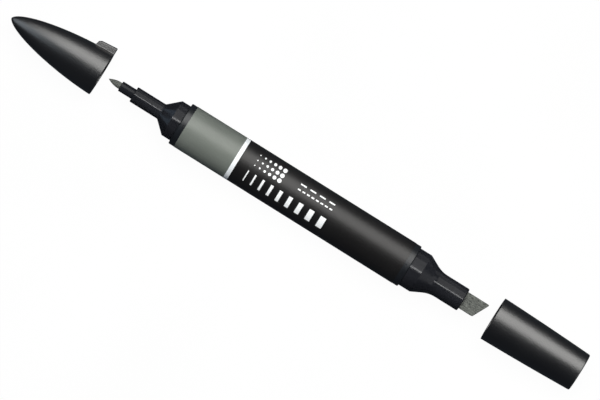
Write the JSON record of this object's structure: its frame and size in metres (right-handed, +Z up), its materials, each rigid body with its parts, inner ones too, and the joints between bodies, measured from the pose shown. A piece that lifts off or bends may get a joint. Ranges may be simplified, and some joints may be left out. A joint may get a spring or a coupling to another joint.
{
  "type": "felt tip marker",
  "caption": "Twin-tip felt marker lying with both caps pulled off: fine bullet nib at one end, slanted chisel nib at the other, tapering nose cap with lug, flat-ended cap.",
  "frame": {"origin": "on the marker's axis at the middle of the barrel's length", "axes": "+X along the marker's axis from the fine tip to the broad tip, +Y towards the fine cap's lug and the chisel nib's long corner, +Z up as the marker lies, square to the chisel nib's broad face"},
  "size_m": [0.2093, 0.0168, 0.0148],
  "materials": {
    "barrel_black": "satin moulded polypropylene",
    "label_black": "satin printed film, black",
    "ink_colour": "satin printed film in the ink's colour, a cool mid grey",
    "white_print": "satin white print",
    "holder_black": "smooth glossy moulded black",
    "cap_black": "fine spark-eroded grain, matte black",
    "liner_natural": "natural polyethylene, waxy",
    "nib_fibre": "bonded polyester fibre soaked in grey ink",
    "reservoir_fibre": "ink-soaked polyester fibre bundle",
    "clear_film": "thin clear film"
  },
  "bodies": {
    "marker": {"barrel": "barrel_black", "label_colour_band": "ink_colour", "label_white_stripe": "white_print", "label_black_field": "label_black", "label_print": "white_print", "reservoir_core": "reservoir_fibre", "reservoir_wrap": "clear_film", "fine_holder": "holder_black", "fine_nib_sleeve": "holder_black", "fine_nib": "nib_fibre", "broad_holder": "holder_black", "chisel_nib": "nib_fibre"},
    "fine_cap": {"fine_cap": "cap_black", "fine_cap_liner": "liner_natural"},
    "broad_cap": {"broad_cap": "cap_black", "broad_cap_liner": "liner_natural", "broad_cap_disc": "ink_colour"}
  },
  "joints": [
    {"name": "fine_cap_slide", "type": "slide", "parent": "marker", "child": "fine_cap", "axis": [1, 0, 0], "range_m": [0, 0.0289]},
    {"name": "broad_cap_slide", "type": "slide", "parent": "marker", "child": "broad_cap", "axis": [-1, 0, 0], "range_m": [0, 0.03065]}
  ]
}
